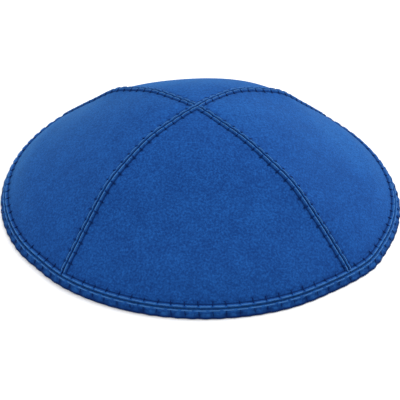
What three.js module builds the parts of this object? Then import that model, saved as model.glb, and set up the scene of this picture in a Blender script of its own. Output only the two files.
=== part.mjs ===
// A suede skullcap: four suede panels sewn edge to edge into a shallow dome, and a suede rim band
// sewn round their lower edges and folded under them. It lies on a table, crown up.
// Units are millimetres, +Z is up, -Y is the front, and the origin is under the middle of the rim.
// Every sewn joint is two raised lips side by side: each piece has its edge turned up along the joint.
import * as THREE from "three";

// Driving sizes
const rimRadius = 85; // outside of the rim, where it meets the table
const crownHeight = 46.4; // outside of the panels at the crown, above the table
const crownRight = -0.9; // how far the crown stands to the right of the rim's middle
const crownBack = -3.1; // how far the crown stands behind the rim's middle
const wall = 1.4; // thickness of a suede panel
const pieceGap = 0.3; // clearance between neighbouring pieces
const lipWidth = 1.6; // width of the turned-up edge on each side of a joint
const lipHeight = 0.8; // how far a turned-up edge stands above the suede
const bandFace = 4.3; // outside of the rim band, from the table up to its joint
const foldHeight = 0.7; // from the table up to where the rim band's fold is widest
const foldSwell = 0.25; // how far the fold swells out there
const bandPly = 1.1; // thickness of the rim band's inner ply
const bandHem = 9; // height of the inner ply, from the table up the inside of the panels
const footInset = 0.3; // from the outside of the rim in to the flat it lies on
const footWidth = 2; // width of that flat
const tipReach = 0.4; // from the crown's centre to the tip of each panel

// Heights of the dome: out is a share of rimRadius, and seam and middle are shares of crownHeight
// along a seam and along the middle of a panel. The panels sag between the seams on the
// shoulder of the dome.
const domeRows = [
  { out: 0.0, seam: 1.0, middle: 1.0 },
  { out: 0.15, seam: 0.96, middle: 0.977 },
  { out: 0.3, seam: 0.911, middle: 0.903 },
  { out: 0.45, seam: 0.812, middle: 0.774 },
  { out: 0.6, seam: 0.689, middle: 0.606 },
  { out: 0.75, seam: 0.462, middle: 0.424 },
  { out: 0.88, seam: 0.246, middle: 0.252 },
  { out: 0.96, seam: 0.105, middle: 0.087 },
  { out: 1.0, seam: 0.0, middle: 0.0 },
];

// The four seams: bearing is where a seam meets the rim, in degrees from +X towards the back.
// bow and sway are shares of rimRadius by which a seam bends to one side, and to one and then the other.
const seamRows = [
  { seam: "back right", bearing: 44.9, bow: 0.006, sway: 0.023 },
  { seam: "back left", bearing: 138.2, bow: -0.038, sway: 0.004 },
  { seam: "front left", bearing: 228.7, bow: -0.037, sway: -0.006 },
  { seam: "front right", bearing: 315.8, bow: 0.02, sway: -0.003 },
];

// How the soft rim is out of round: swell is a share of rimRadius, towards is in degrees
const rimSwells = [
  { lobes: 2, swell: 0.0162, towards: 140.7 },
  { lobes: 3, swell: 0.0083, towards: -16.4 },
];

// Short stretches where the rim stands out or in: towards and spread are in degrees, swell as above
const rimBulges = [
  { towards: -36, spread: 4.5, swell: 0.012 },
  { towards: -53, spread: 5, swell: -0.006 },
  { towards: 219, spread: 4.5, swell: -0.007 },
];

// Soft dents and bulges of the panels: right, back and spread are shares of rimRadius, rise of crownHeight
const dentRows = [
  { right: 0.27, back: 0.55, spread: 0.2, rise: 0.04 },
  { right: 0.55, back: 0.3, spread: 0.22, rise: -0.016 },
  { right: -0.85, back: 0.0, spread: 0.3, rise: 0.017 },
  { right: 0.85, back: 0.0, spread: 0.3, rise: -0.049 },
  { right: -0.55, back: 0.46, spread: 0.15, rise: -0.022 },
  { right: 0.56, back: 0.46, spread: 0.15, rise: -0.02 },
];
const dentsFade = 6; // how late the dents fade out towards the rim, as a power

// Section of a turned-up edge: inward is a share of lipWidth from the joint, rise a share of lipHeight
const lipRows = [
  { inward: 0.0, rise: 0.5 },
  { inward: 0.35, rise: 1.0 },
  { inward: 0.75, rise: 0.8 },
  { inward: 1.0, rise: 0.0 },
];
const lipMost = 0.66; // share of a panel's half width that its lip may fill near the crown

// Mesh density of a panel
const panelRings = 14; // from the crown to the lower lip
const ringCrowding = 1.2; // above 1, rings lie closer together near the crown
const panelFields = 11; // between the lips of a panel's two seams

const seamCount = seamRows.length;
const radians = THREE.MathUtils.degToRad;

// A smooth curve through one column of the dome's table, level at the crown
function curveThrough(rows, column) {
  const xs = rows.map((row) => row.out);
  const ys = rows.map((row) => row[column]);
  const rises = xs.slice(1).map((x, i) => (ys[i + 1] - ys[i]) / (x - xs[i]));
  const slopes = xs.map((x, i) => {
    if (i === 0) return 0;
    if (i === xs.length - 1) return rises[i - 1];
    const before = xs[i] - xs[i - 1];
    const after = xs[i + 1] - xs[i];
    return (rises[i - 1] * after + rises[i] * before) / (before + after);
  });
  return (x) => {
    let i = 0;
    while (i < xs.length - 2 && x > xs[i + 1]) i += 1;
    const span = xs[i + 1] - xs[i];
    const t = (x - xs[i]) / span;
    const level = ys[i] * (1 + 2 * t) * (1 - t) ** 2 + ys[i + 1] * t * t * (3 - 2 * t);
    const lean = slopes[i] * t * (1 - t) ** 2 - slopes[i + 1] * t * t * (1 - t);
    return level + lean * span;
  };
}
const seamHeight = curveThrough(domeRows, "seam");
const middleHeight = curveThrough(domeRows, "middle");

// Bearing in radians of a seam at a share out of rimRadius, counting on past a full turn
function seamBearing(out, seam) {
  const turns = Math.floor(seam / seamCount);
  const row = seamRows[seam - turns * seamCount];
  const aside = row.bow * Math.sin(Math.PI * out) + row.sway * Math.sin(2 * Math.PI * out);
  return radians(row.bearing) + 2 * Math.PI * turns + aside / out;
}

// Bearing of any place. round counts the seams passed: it is whole on a seam, and panel i lies between
// i and i + 1.
function bearing(out, round) {
  const seam = Math.floor(round);
  const across = round - seam;
  return seamBearing(out, seam) * (1 - across) + seamBearing(out, seam + 1) * across;
}

// How much a place across a panel follows the seam's height: taut suede runs nearly straight between seams
function crease(round) {
  const fromMiddle = (round - Math.floor(round) - 0.5) * (Math.PI / 2);
  return (1 / Math.cos(fromMiddle) - 1) / (Math.SQRT2 - 1);
}

// The same without the crease at the seam, which gives the wall one direction on both sides of it
function softCrease(round) {
  return Math.cos(Math.PI * round) ** 2;
}

// How far the rim stands out or in at a bearing, as a share of its radius
function rimSwell(angle) {
  const lobed = rimSwells.map((row) => row.swell * Math.cos(row.lobes * (angle - radians(row.towards))));
  const local = rimBulges.map((row) => {
    const turned = angle - radians(row.towards);
    const away = Math.atan2(Math.sin(turned), Math.cos(turned)) / radians(row.spread);
    return row.swell * Math.exp(-(away ** 2) / 2);
  });
  return [...lobed, ...local].reduce((sum, swell) => sum + swell, 0);
}

function dentRise(x, y, out) {
  const fade = 1 - out ** dentsFade;
  return dentRows.reduce((sum, { right, back, spread, rise }) => {
    const away = Math.hypot(x / rimRadius - right, y / rimRadius - back) / spread;
    return sum + rise * fade * Math.exp(-(away ** 2) / 2);
  }, 0);
}

// A point on the outside of the dome, before the joints are raised
function domePoint(out, round, shareOfSeam = crease) {
  const angle = bearing(out, round);
  const radius = rimRadius * out * (1 + rimSwell(angle) * out ** 2);
  const x = radius * Math.cos(angle) + crownRight * (1 - out ** 2);
  const y = radius * Math.sin(angle) + crownBack * (1 - out ** 2);
  const middle = middleHeight(out);
  const share = middle + (seamHeight(out) - middle) * shareOfSeam(round) + dentRise(x, y, out);
  return new THREE.Vector3(x, y, crownHeight * share);
}

// The direction in which the wall's thickness is measured
function outward(out, round) {
  const step = 0.01;
  const from = Math.max(out - step, step / 10);
  const around = Math.max(out, step);
  const downSeam = domePoint(Math.min(out + step, 1), round, softCrease);
  downSeam.sub(domePoint(from, round, softCrease));
  const acrossPanel = domePoint(around, round + step, softCrease);
  acrossPanel.sub(domePoint(around, round - step, softCrease));
  return downSeam.cross(acrossPanel).normalize();
}

function capPoint(out, round, lift) {
  return domePoint(out, round).addScaledVector(outward(out, round), lift);
}

// The share of rimRadius that lies a distance up the outside of the dome from the table
function outAbove(distance, round) {
  const step = 0.002;
  let out = 1;
  let climbed = 0;
  let here = domePoint(out, round);
  while (out > step) {
    const next = domePoint(out - step, round);
    const length = next.distanceTo(here);
    if (climbed + length >= distance) return out - (step * (distance - climbed)) / length;
    climbed += length;
    out -= step;
    here = next;
  }
  return out;
}

// Height of the turned-up edge at a distance from the joint
function lipLift(distance) {
  const inward = distance / lipWidth;
  const next = lipRows.findIndex((row) => row.inward >= inward);
  if (next < 0) return 0;
  if (next === 0) return lipRows[0].rise * lipHeight;
  const a = lipRows[next - 1];
  const b = lipRows[next];
  const t = (inward - a.inward) / (b.inward - a.inward);
  return (a.rise + (b.rise - a.rise) * t) * lipHeight;
}

// Distances from a joint at which a panel has its rows and columns of points
const lipSteps = lipRows.map((row) => row.inward * lipWidth);

// Columns across a panel at a share out of rimRadius: where each lies round the cap, and its distance
// from the nearer seam
function panelColumns(panel, out) {
  const width = rimRadius * out * (bearing(out, panel + 1) - bearing(out, panel));
  const usable = width - pieceGap;
  const squeeze = Math.min(1, (lipMost * usable) / 2 / lipWidth);
  const lip = lipSteps.map((step) => step * squeeze);
  const lipEnd = lip[lip.length - 1];
  const distances = lip.slice();
  for (let i = 1; i < panelFields; i += 1) {
    distances.push(lipEnd + ((usable - 2 * lipEnd) * i) / panelFields);
  }
  lip.toReversed().forEach((step) => distances.push(usable - step));
  return distances.map((distance) => ({
    round: panel + (pieceGap / 2 + distance) / width,
    toSeam: Math.min(distance, usable - distance),
  }));
}

// A closed solid between an outside and an inside grid of points, whose first rows are one point each
function wallSolid(outside, inside) {
  const vertices = [];
  const faces = [];
  const number = (grid) =>
    grid.map((row) =>
      row.map((point) => {
        vertices.push(point.x, point.y, point.z);
        return vertices.length / 3 - 1;
      }),
    );
  const out = number(outside);
  const back = number(inside);
  const last = out.length - 1;
  const edge = out[1].length - 1;
  const quad = (a, b, c, d) => faces.push(a, b, c, a, c, d);
  for (let j = 0; j < edge; j += 1) {
    faces.push(out[0][0], out[1][j], out[1][j + 1]);
    faces.push(back[0][0], back[1][j + 1], back[1][j]);
    for (let i = 1; i < last; i += 1) {
      quad(out[i][j], out[i + 1][j], out[i + 1][j + 1], out[i][j + 1]);
      quad(back[i][j], back[i][j + 1], back[i + 1][j + 1], back[i + 1][j]);
    }
    quad(out[last][j], back[last][j], back[last][j + 1], out[last][j + 1]);
  }
  for (let i = 0; i < last; i += 1) {
    const start = i === 0 ? 0 : edge;
    quad(out[i][0], back[i][0], back[i + 1][0], out[i + 1][0]);
    quad(out[i + 1][edge], back[i + 1][edge], back[i][start], out[i][start]);
  }
  return indexedGeometry(vertices, faces);
}

// A closed ring swept through sections that all have the same number of points
function ringSolid(sections) {
  const size = sections[0].length;
  const vertices = sections.flat().flatMap((point) => [point.x, point.y, point.z]);
  const faces = [];
  sections.forEach((section, i) => {
    const here = i * size;
    const next = ((i + 1) % sections.length) * size;
    for (let j = 0; j < size; j += 1) {
      const after = (j + 1) % size;
      faces.push(here + j, next + j, next + after, here + j, next + after, here + after);
    }
  });
  return indexedGeometry(vertices, faces);
}

function indexedGeometry(vertices, faces) {
  const geometry = new THREE.BufferGeometry();
  geometry.setAttribute("position", new THREE.Float32BufferAttribute(vertices, 3));
  geometry.setIndex(faces);
  geometry.computeVertexNormals();
  return geometry;
}

// One suede panel: a curved triangle of wall, with its edges turned up along both seams and along the rim
function panelGeometry(panel) {
  const middle = panel + 0.5;
  const jointAt = bandFace + pieceGap / 2;
  const plainEnd = outAbove(jointAt + lipWidth, middle);
  const rings = [];
  for (let i = 1; i < panelRings; i += 1) {
    rings.push({ out: plainEnd * (i / panelRings) ** ringCrowding });
  }
  lipSteps.toReversed().forEach((toRim) => rings.push({ out: outAbove(jointAt + toRim, middle), toRim }));
  const tip = tipReach / rimRadius;
  const outside = [[capPoint(tip, middle, 0)]];
  const inside = [[capPoint(tip, middle, -wall)]];
  for (const { out, toRim } of rings) {
    const places = panelColumns(panel, out).map(({ round, toSeam }) => {
      if (toRim === undefined) return { round, out, lift: lipLift(toSeam) };
      const lift = Math.max(lipLift(toSeam), lipLift(toRim));
      return { round, out: outAbove(jointAt + toRim, round), lift };
    });
    outside.push(places.map((place) => capPoint(place.out, place.round, place.lift)));
    inside.push(places.map((place) => capPoint(place.out, place.round, -wall)));
  }
  return wallSolid(outside, inside);
}

// The rim band: a strip with its upper edge turned up against the panels, folded round the bottom, whose
// inner ply runs up behind them
function bandSection(round) {
  const joint = bandFace - pieceGap / 2;
  const climb = [joint, (joint + bandHem) / 2, bandHem];
  const behindPanel = -(wall + pieceGap);
  const at = (distance, lift) => capPoint(outAbove(distance, round), round, lift);
  const foot = (inset) => {
    const edge = domePoint(1, round);
    return edge.multiplyScalar(1 - inset / Math.hypot(edge.x, edge.y)).setZ(0);
  };
  return [
    ...climb.map((distance) => at(distance, behindPanel)),
    ...climb.toReversed().map((distance) => at(distance, behindPanel - bandPly)),
    foot(footInset + footWidth),
    foot(footInset),
    at(foldHeight, foldSwell),
    ...lipRows.toReversed().map((row) => at(joint - row.inward * lipWidth, row.rise * lipHeight)),
  ];
}

function bandGeometry() {
  const sections = seamRows.flatMap((row, panel) =>
    panelColumns(panel, 1).map(({ round }) => bandSection(round)),
  );
  return ringSolid(sections);
}

function suede(color) {
  return new THREE.MeshStandardMaterial({ color, roughness: 0.95, metalness: 0 });
}

function piece(name, geometry, color) {
  const mesh = new THREE.Mesh(geometry, suede(color));
  mesh.name = name;
  return mesh;
}

const cap = new THREE.Group();
["panel_back", "panel_left", "panel_front", "panel_right"].forEach((name, panel) => {
  cap.add(piece(name, panelGeometry(panel), 0x21559f));
});
cap.add(piece("rim_band", bandGeometry(), 0x1f4c92));

// The origin goes under the middle of the out-of-round rim
const middleOfRim = new THREE.Box3().setFromObject(cap).getCenter(new THREE.Vector3());
cap.position.set(-middleOfRim.x, -middleOfRim.y, 0);

export default cap;
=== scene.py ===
"""A blue suede skullcap: four suede panels, a folded rim band, and the thread that holds them together.

The cap's outside is a surface over two numbers. `out` is a share of the rim's radius, 0 at the crown and
1 at the rim. `turn` counts the seams passed round the cap: it is whole on a seam, and panel i lies
between i and i + 1. Lengths are in metres.
"""

import math

import bpy
import numpy as np
from bpy.props import FloatProperty, FloatVectorProperty, IntProperty, PointerProperty
from mathutils import Matrix, Vector


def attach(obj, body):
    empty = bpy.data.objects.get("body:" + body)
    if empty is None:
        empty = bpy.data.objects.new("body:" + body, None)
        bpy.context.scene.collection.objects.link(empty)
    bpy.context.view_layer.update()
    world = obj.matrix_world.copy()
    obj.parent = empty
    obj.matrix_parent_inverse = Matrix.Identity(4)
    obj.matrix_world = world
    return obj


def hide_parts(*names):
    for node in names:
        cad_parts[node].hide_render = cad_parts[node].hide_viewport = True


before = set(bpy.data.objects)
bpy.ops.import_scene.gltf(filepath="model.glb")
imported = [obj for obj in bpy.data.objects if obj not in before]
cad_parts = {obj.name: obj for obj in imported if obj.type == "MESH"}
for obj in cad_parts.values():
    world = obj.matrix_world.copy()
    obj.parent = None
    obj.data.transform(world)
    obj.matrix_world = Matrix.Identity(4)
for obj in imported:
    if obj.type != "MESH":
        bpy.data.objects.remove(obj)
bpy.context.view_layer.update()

bl_info = {
    "name": "Suede skullcap",
    "version": (1, 0, 0),
    "blender": (4, 5, 0),
    "location": "3D View > Sidebar > Skullcap",
    "description": "Builds a sewn suede skullcap, its stitches and a plain studio",
    "category": "Add Mesh",
}

MM = 0.001

# Heights of the dome at shares out of the rim's radius, as shares of the crown's height: along a seam, and
# along the middle of a panel
DOME_ROWS = [
    {"out": 0.0, "seam": 1.0, "middle": 1.0},
    {"out": 0.15, "seam": 0.96, "middle": 0.977},
    {"out": 0.3, "seam": 0.911, "middle": 0.903},
    {"out": 0.45, "seam": 0.812, "middle": 0.774},
    {"out": 0.6, "seam": 0.689, "middle": 0.606},
    {"out": 0.75, "seam": 0.462, "middle": 0.424},
    {"out": 0.88, "seam": 0.246, "middle": 0.252},
    {"out": 0.96, "seam": 0.105, "middle": 0.087},
    {"out": 1.0, "seam": 0.0, "middle": 0.0},
]

# The seams: where each meets the rim, in degrees from +X towards the back, and how it bends on the way,
# as shares of the rim's radius
SEAM_ROWS = [
    {"seam": "back right", "bearing": 44.9, "bow": 0.006, "sway": 0.023},
    {"seam": "back left", "bearing": 138.2, "bow": -0.038, "sway": 0.004},
    {"seam": "front left", "bearing": 228.7, "bow": -0.037, "sway": -0.006},
    {"seam": "front right", "bearing": 315.8, "bow": 0.02, "sway": -0.003},
]
LONG_SEAM_PARITY = 0  # seams 0 and 2 are one long seam over the crown, which 1 and 3 butt against

# Long swells of the rim's outline: how many go round it, their share of its radius, and where one is highest
RIM_SWELLS = [
    {"lobes": 2, "swell": 0.0162, "towards": 140.7},
    {"lobes": 3, "swell": 0.0083, "towards": -16.4},
]

# Short stretches where the rim stands out or in, with their bearing and spread in degrees
RIM_BULGES = [
    {"towards": -36, "spread": 4.5, "swell": 0.012},
    {"towards": -53, "spread": 5, "swell": -0.006},
    {"towards": 219, "spread": 4.5, "swell": -0.007},
]

# Soft dents and bulges: place and spread as shares of the rim's radius, rise as a share of the crown's height
DENT_ROWS = [
    {"right": 0.27, "back": 0.55, "spread": 0.2, "rise": 0.04},
    {"right": 0.55, "back": 0.3, "spread": 0.22, "rise": -0.016},
    {"right": -0.85, "back": 0.0, "spread": 0.3, "rise": 0.017},
    {"right": 0.85, "back": 0.0, "spread": 0.3, "rise": -0.049},
    {"right": -0.55, "back": 0.46, "spread": 0.15, "rise": -0.022},
    {"right": 0.56, "back": 0.46, "spread": 0.15, "rise": -0.02},
]
DENTS_FADE = 6  # power of out by which they fade towards the rim

BUMPS_PER_STITCH = 3  # small uneven bumps along the folded edge

# Patches of painted light on the panels, which below 0 are painted shade: place and spread as shares of the
# rim's radius, and how strong
PAINTED_LIGHT_PATCHES = [
    {"right": 0.69, "back": 0.23, "spread": 0.08, "painted_light": 0.5},
    {"right": 0.79, "back": 0.07, "spread": 0.08, "painted_light": 0.45},
    {"right": 0.2, "back": -0.06, "spread": 0.09, "painted_light": 0.3},
    {"right": 0.6, "back": -0.2, "spread": 0.16, "painted_light": -0.07},
]

# Section of the rolled edge beside a joint: inward as a share of its width, rise as a share of its height
LIP_ROWS = [
    {"inward": 0.0, "rise": 0.2},
    {"inward": 0.08, "rise": 0.5},
    {"inward": 0.2, "rise": 0.82},
    {"inward": 0.36, "rise": 0.98},
    {"inward": 0.5, "rise": 1.0},
    {"inward": 0.66, "rise": 0.86},
    {"inward": 0.82, "rise": 0.5},
    {"inward": 0.92, "rise": 0.2},
    {"inward": 1.0, "rise": 0.0},
]

# Face of the band between its rolled edge and its fold: height up the dome and swell outward in millimetres,
# what a pull and a bump of 1 add to the swell, and how much painted light and how much painted shade the
# suede has there
FACE_ROWS = [
    {"height": 2.2, "swell": 0.1, "by_pull": -0.06, "by_bump": 0.0, "painted_light": 1.0, "dark": 0.24},
    {"height": 1.5, "swell": 0.25, "by_pull": -0.1, "by_bump": 0.07, "painted_light": 0.6, "dark": 0.38},
]

# Underside of the fold: inset from the dome's edge and height in millimetres, what a pull and a bump of 1 add
# to the inset, and how much painted shade darkens it
FOOT_ROWS = [
    {"inset": 0.14, "height": 0.3, "by_pull": 0.18, "by_bump": -0.1, "dark": 1.0},
    {"inset": 0.45, "height": 0.04, "by_pull": 0.0, "by_bump": 0.0, "dark": 0.9},
    {"inset": 1.0, "height": 0.0, "by_pull": 0.0, "by_bump": 0.0, "dark": 0.0},
]

# What a pull and a bump of 1 add to the swell of the fold, and how far in from the dome's edge the width of
# the flat under the band is measured from
FOLD_BY_PULL = -0.14 * MM
FOLD_BY_BUMP = 0.12 * MM
FLAT_INSET = 0.3 * MM

# How much painted light the face of the band has, and what a pull and a bump of 1 add to that and to its
# painted shade; the fold is darkened with painted shade
FACE_PAINTED_LIGHT = {"usual": 0.5, "by_pull": -0.35, "by_bump": 0.5}
FACE_PAINTED_SHADE = {"by_pull": 0.15, "by_bump": -0.2}
FOLD_PAINTED_SHADE = {"usual": 0.95, "by_pull": 0.1}

# Where the rolled edge of the band has its rows of vertices, as shares of its width
BAND_LIP_SHARES = (0.0, 0.1, 0.22, 0.4, 0.6, 0.78, 0.92, 1.05)

# How tightly a stitch may be drawn: 1 is the usual pull
SLACKEST = 0.4
TIGHTEST = 1.6

# What a pull of 1 takes from a rolled edge, as shares of its width and height
DRAWN_NARROWER = 0.03
DRAWN_LOWER = 0.06

# The tug at the foot of a rolled edge: its place and spread as shares of the edge's width, how much of it is
# there along the whole joint, and what a pull of 1 adds
TUG_PLACE = 1.06
TUG_SPREAD = 0.2
TUG_ALWAYS = 0.8
TUG_BY_PULL = 0.4
NEEDLE_DENT = 0.34 * MM

# Where a rolled edge gives way to another that it meets, as shares of its width
MEET_FROM = 0.65
MEET_TO = 1.05

# How much painted shade darkens the suede in the groove of a joint, at the foot of its rolled edge and in its
# needle holes, and how far the first two spread
GROOVE_SPREAD = 0.34 * MM
RIM_GROOVE_PAINTED_SHADE = 0.45
EDGE_FOOT_PLACE = 1.02
EDGE_FOOT_SPREAD = 0.27 * MM
EDGE_FOOT_PAINTED_SHADE = 0.85
HOLE_PAINTED_SHADE = 0.6

# A rolled edge is rubbed pale where it rises past this share of its height, and so much at its top
RUBBED_ABOVE = 0.55
PANEL_RUB = 0.8
BAND_RUB = 0.6

# Samples of the dome from which distances on it are worked out, and the share out that is nearest the crown
TURN_SAMPLES = 801
OUT_SAMPLES = 500
LEAST_OUT = 1e-4

# Mesh of a panel. Its steps go down a nominal run from the crown that is then fitted to the real one, and
# across each rolled edge, finely to one share of the edge's width and coarsely from the next
NOMINAL_RUN = 96 * MM
CROWN_REACH = 4 * MM
CROWN_STEP = 0.2 * MM
RUN_STEP = 0.42 * MM
RIM_ZONE = 3.4 * MM
EDGE_REACH = 3.3 * MM
EDGE_STEP = 0.12 * MM
PAST_EDGE_STEP = 0.28 * MM
FINE_TO = 1.2
COARSE_FROM = 1.36
FIELDS = 44  # steps across a panel between its two edges
EDGES_AT_MOST = 0.66  # share of a panel's width that the steps of its two edges may take
NEAR_RIM = 20  # samples of the dome from the rim to where its slope there is measured
LEAST_SHARE = 0.002  # least gap from the last coarse row to the first fine one by the rim, as a share out
TIP_SIZE = 0.02 * MM
SHARP_FROM = 60  # degrees between two faces from which the edge between them is drawn sharp

# The thread: how a row of it rises over the suede and dives once a stitch, where a leg starts on a rolled
# edge, how the legs and the wraps round the fold arch over the suede, and how full the thread is there
ROW_LIE = {"Rise": 0.06 * MM, "Dive": 0.75 * MM}
LEG_ROOT = 0.85 * MM
LEG_LIE = {"Start": 0.6 * MM, "Arch": 0.35 * MM, "Dive": 0.3 * MM}
WRAP_ROOT = 0.9 * MM
WRAP_LIE = {"Start": 0.5 * MM, "Arch": 0.3 * MM, "Dive": 0.15 * MM}
WRAP_REACH = 0.8
RIM_LEG_FULLNESS = 1.2
WRAP_FULLNESS = 0.85

# Where the rows of thread start beside the crown and stop above the rim's joint
LONG_ROW_START = 0.6 * MM
SHORT_ROW_START = 1.9 * MM
ROW_STEP = 0.3 * MM
ROW_STOP = 0.9 * MM
LAST_LEG = 2.2 * MM
LOWER_ROW_LAG = 0.35

# The rows' thread is the legs' navy thread, painted paler blue grey for its highlight
ROW_THREAD_PAINTED_HIGHLIGHT = "twisted polyester thread, navy, painted highlight"
LEG_THREAD = "twisted polyester thread, navy"

# The studio's soft lights, all aimed at the cap: a big one overhead, behind and to the right, and three weak
# cool ones that open its shadows
LIGHT_ROWS = [
    {"name": "overhead softbox", "place": (0.36, 0.5, 1.04), "size": 0.8, "power": 10.3, "tint": "#FFFFFF"},
    {"name": "front fill", "place": (-0.4, -1.2, 0.7), "size": 0.8, "power": 1.8, "tint": "#F4F8FF"},
    {"name": "right fill", "place": (0.95, 0.4, 0.35), "size": 0.6, "power": 3.6, "tint": "#F4F8FF"},
    {"name": "left fill", "place": (-0.9, -0.5, 0.4), "size": 0.6, "power": 1.6, "tint": "#F4F8FF"},
]
LIGHTS_AIM = (0, 0, 0.02)
ROOM_STRENGTH = 0.75
FLOOR_REACH = 3.0
SENSOR_WIDTH = 36  # millimetres


def linear(hex_colour):
    """An sRGB hex colour as the linear red, green and blue that Blender works in."""
    channels = [int(hex_colour[i : i + 2], 16) / 255 for i in (1, 3, 5)]
    return [c / 12.92 if c <= 0.04045 else ((c + 0.055) / 1.055) ** 2.4 for c in channels]


def length(name, description, default):
    """A size that the user can change, in metres."""
    return FloatProperty(
        name=name, description=description, default=default, unit="LENGTH", subtype="DISTANCE", precision=5
    )


def colour(name, description, hex_colour):
    """A colour that the user can change, from its sRGB hex value."""
    return FloatVectorProperty(
        name=name, description=description, default=linear(hex_colour), size=3, min=0, max=1, subtype="COLOR"
    )


def angle(name, description, degrees):
    """An angle that the user can change, from degrees."""
    return FloatProperty(name=name, description=description, default=math.radians(degrees), subtype="ANGLE")


class CapSizes(bpy.types.PropertyGroup):
    """Sizes of the suede pieces"""

    rim_radius: length("Rim radius", "Outside of the rim, where it meets the table", 85 * MM)
    crown_height: length("Crown height", "Outside of the panels at the crown", 46.4 * MM)
    crown_right: length("Crown right", "How far the crown stands to the right of the rim's middle", -0.9 * MM)
    crown_back: length("Crown back", "How far the crown stands behind the rim's middle", -3.1 * MM)
    wall: length("Wall", "Thickness of a suede panel", 1.4 * MM)
    joint_gap: length("Joint gap", "Clearance in a sewn joint", 0.04 * MM)
    lip_width: length("Lip width", "Width of the rolled edge on each side of a joint", 1.6 * MM)
    lip_height: length("Lip height", "How far the rolled edges along the rim stand up", 0.8 * MM)
    seam_height: length("Seam height", "How far the rolled edges along the seams stand up", 0.66 * MM)
    band_face: length("Band face", "Outside of the rim band, from the table up to its joint", 4.3 * MM)
    fold_height: length("Fold height", "Where the fold of the band is widest", 0.7 * MM)
    fold_swell: length("Fold swell", "How far the fold swells out", 0.25 * MM)
    band_ply: length("Band ply", "Thickness of the band's inner ply", 1.1 * MM)
    band_hem: length("Band hem", "Height of the inner ply up the inside of the panels", 9 * MM)
    foot_width: length("Foot width", "Width of the flat that the band lies on", 2 * MM)


class StitchSizes(bpy.types.PropertyGroup):
    """Sizes of the thread and its stitches"""

    pitch: length("Pitch", "From one stitch to the next along a seam", 4.6 * MM)
    rim_pitch: length("Rim pitch", "From one stitch to the next round the rim", 5.4 * MM)
    thread: length("Thread", "Diameter of the thread", 0.36 * MM)
    row: length("Row", "From a joint to the row of thread on its lip", 0.8 * MM)
    seam_leg: length("Seam leg", "From a seam to where a stitch's leg dives into the suede", 2.35 * MM)
    rim_leg: length("Rim leg", "From the rim's joint to where a stitch's leg dives into the suede", 2.8 * MM)
    pucker: length("Pucker", "How deep the stitches pull the suede in", 0.12 * MM)
    seed: IntProperty(name="Seed", description="Fixes the unevenness of the stitches", default=7)


class CapColours(bpy.types.PropertyGroup):
    """Colours of the suede and the thread"""

    nap: colour("Nap", "Suede where its nap lies with the light", "#1D559E")
    shade: colour("Shade", "Suede where its nap lies against the light", "#0F3674")
    # Pale suede: worn along the crests of the rolled edges, and painted light in patches on the panels and on
    # the band's face
    wear_and_highlight: colour("Rub", "Suede rubbed along its rolled edges", "#2862A6")
    # Painted shade in the joints' grooves, the creases at the foot of the rolled edges, the needle holes, on
    # the band's face and fold, and in patches on the panels
    painted_shade: colour("Dive", "Suede down in the joints and needle holes", "#031A4C")
    sheen: colour("Sheen", "Light caught by the tips of the nap", "#64C2FF")
    # Painted highlight: the navy thread of the rows, painted paler
    row_thread_painted_highlight: colour("Row thread", "Thread along the lips", "#4077B6")
    leg_thread: colour("Leg thread", "Thread across the suede and round the edge", "#04215A")


class StudioSizes(bpy.types.PropertyGroup):
    """The camera and the lights"""

    distance: length("Distance", "From the camera to the cap", 0.7)
    lens: FloatProperty(name="Lens", description="Focal length in mm on a 36 mm sensor", default=146.5)
    elevation: angle("Elevation", "Angle of the view above the table", 35.24)
    roll: angle("Roll", "Turn of the picture", 0.24)
    aim_right: length("Aim right", "What the camera looks at, to the right of the rim's middle", 0.51 * MM)
    aim_up: length("Aim up", "What the camera looks at, above the table", -2.62 * MM)


def curve_through(rows, column):
    """A smooth curve through one column of the dome's table, level at the crown."""
    xs = np.array([row["out"] for row in rows])
    ys = np.array([row[column] for row in rows])
    spans = np.diff(xs)
    rises = np.diff(ys) / spans
    slopes = np.zeros(len(xs))
    slopes[-1] = rises[-1]
    slopes[1:-1] = (rises[:-1] * spans[1:] + rises[1:] * spans[:-1]) / (spans[:-1] + spans[1:])

    def value(x):
        i = np.clip(np.searchsorted(xs, x, side="right") - 1, 0, len(xs) - 2)
        t = (x - xs[i]) / spans[i]
        level = ys[i] * (1 + 2 * t) * (1 - t) ** 2 + ys[i + 1] * t * t * (3 - 2 * t)
        lean = slopes[i] * t * (1 - t) ** 2 - slopes[i + 1] * t * t * (1 - t)
        return level + lean * spans[i]

    return value


def smooth_step(x, low, high):
    """Rises smoothly from 0 at low to 1 at high."""
    t = np.clip((x - low) / (high - low), 0, 1)
    return t * t * (3 - 2 * t)


def nearness(row, right, back):
    """1 at a row's place and less away from it, for places given in shares of the rim's radius."""
    away = np.hypot(right - row["right"], back - row["back"]) / row["spread"]
    return np.exp(-(away**2) / 2)


def stronger(one, other):
    """Place by place, whichever value is further from 0."""
    return np.where(np.abs(one) > np.abs(other), one, other)


def unit(vectors):
    """The vectors, each made 1 long."""
    return vectors / np.linalg.norm(vectors, axis=-1, keepdims=True)


def run_lengths(line):
    """Distance along a line of points, from its first point to each."""
    return np.concatenate([[0], np.cumsum(np.linalg.norm(np.diff(line, axis=0), axis=1))])


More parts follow.
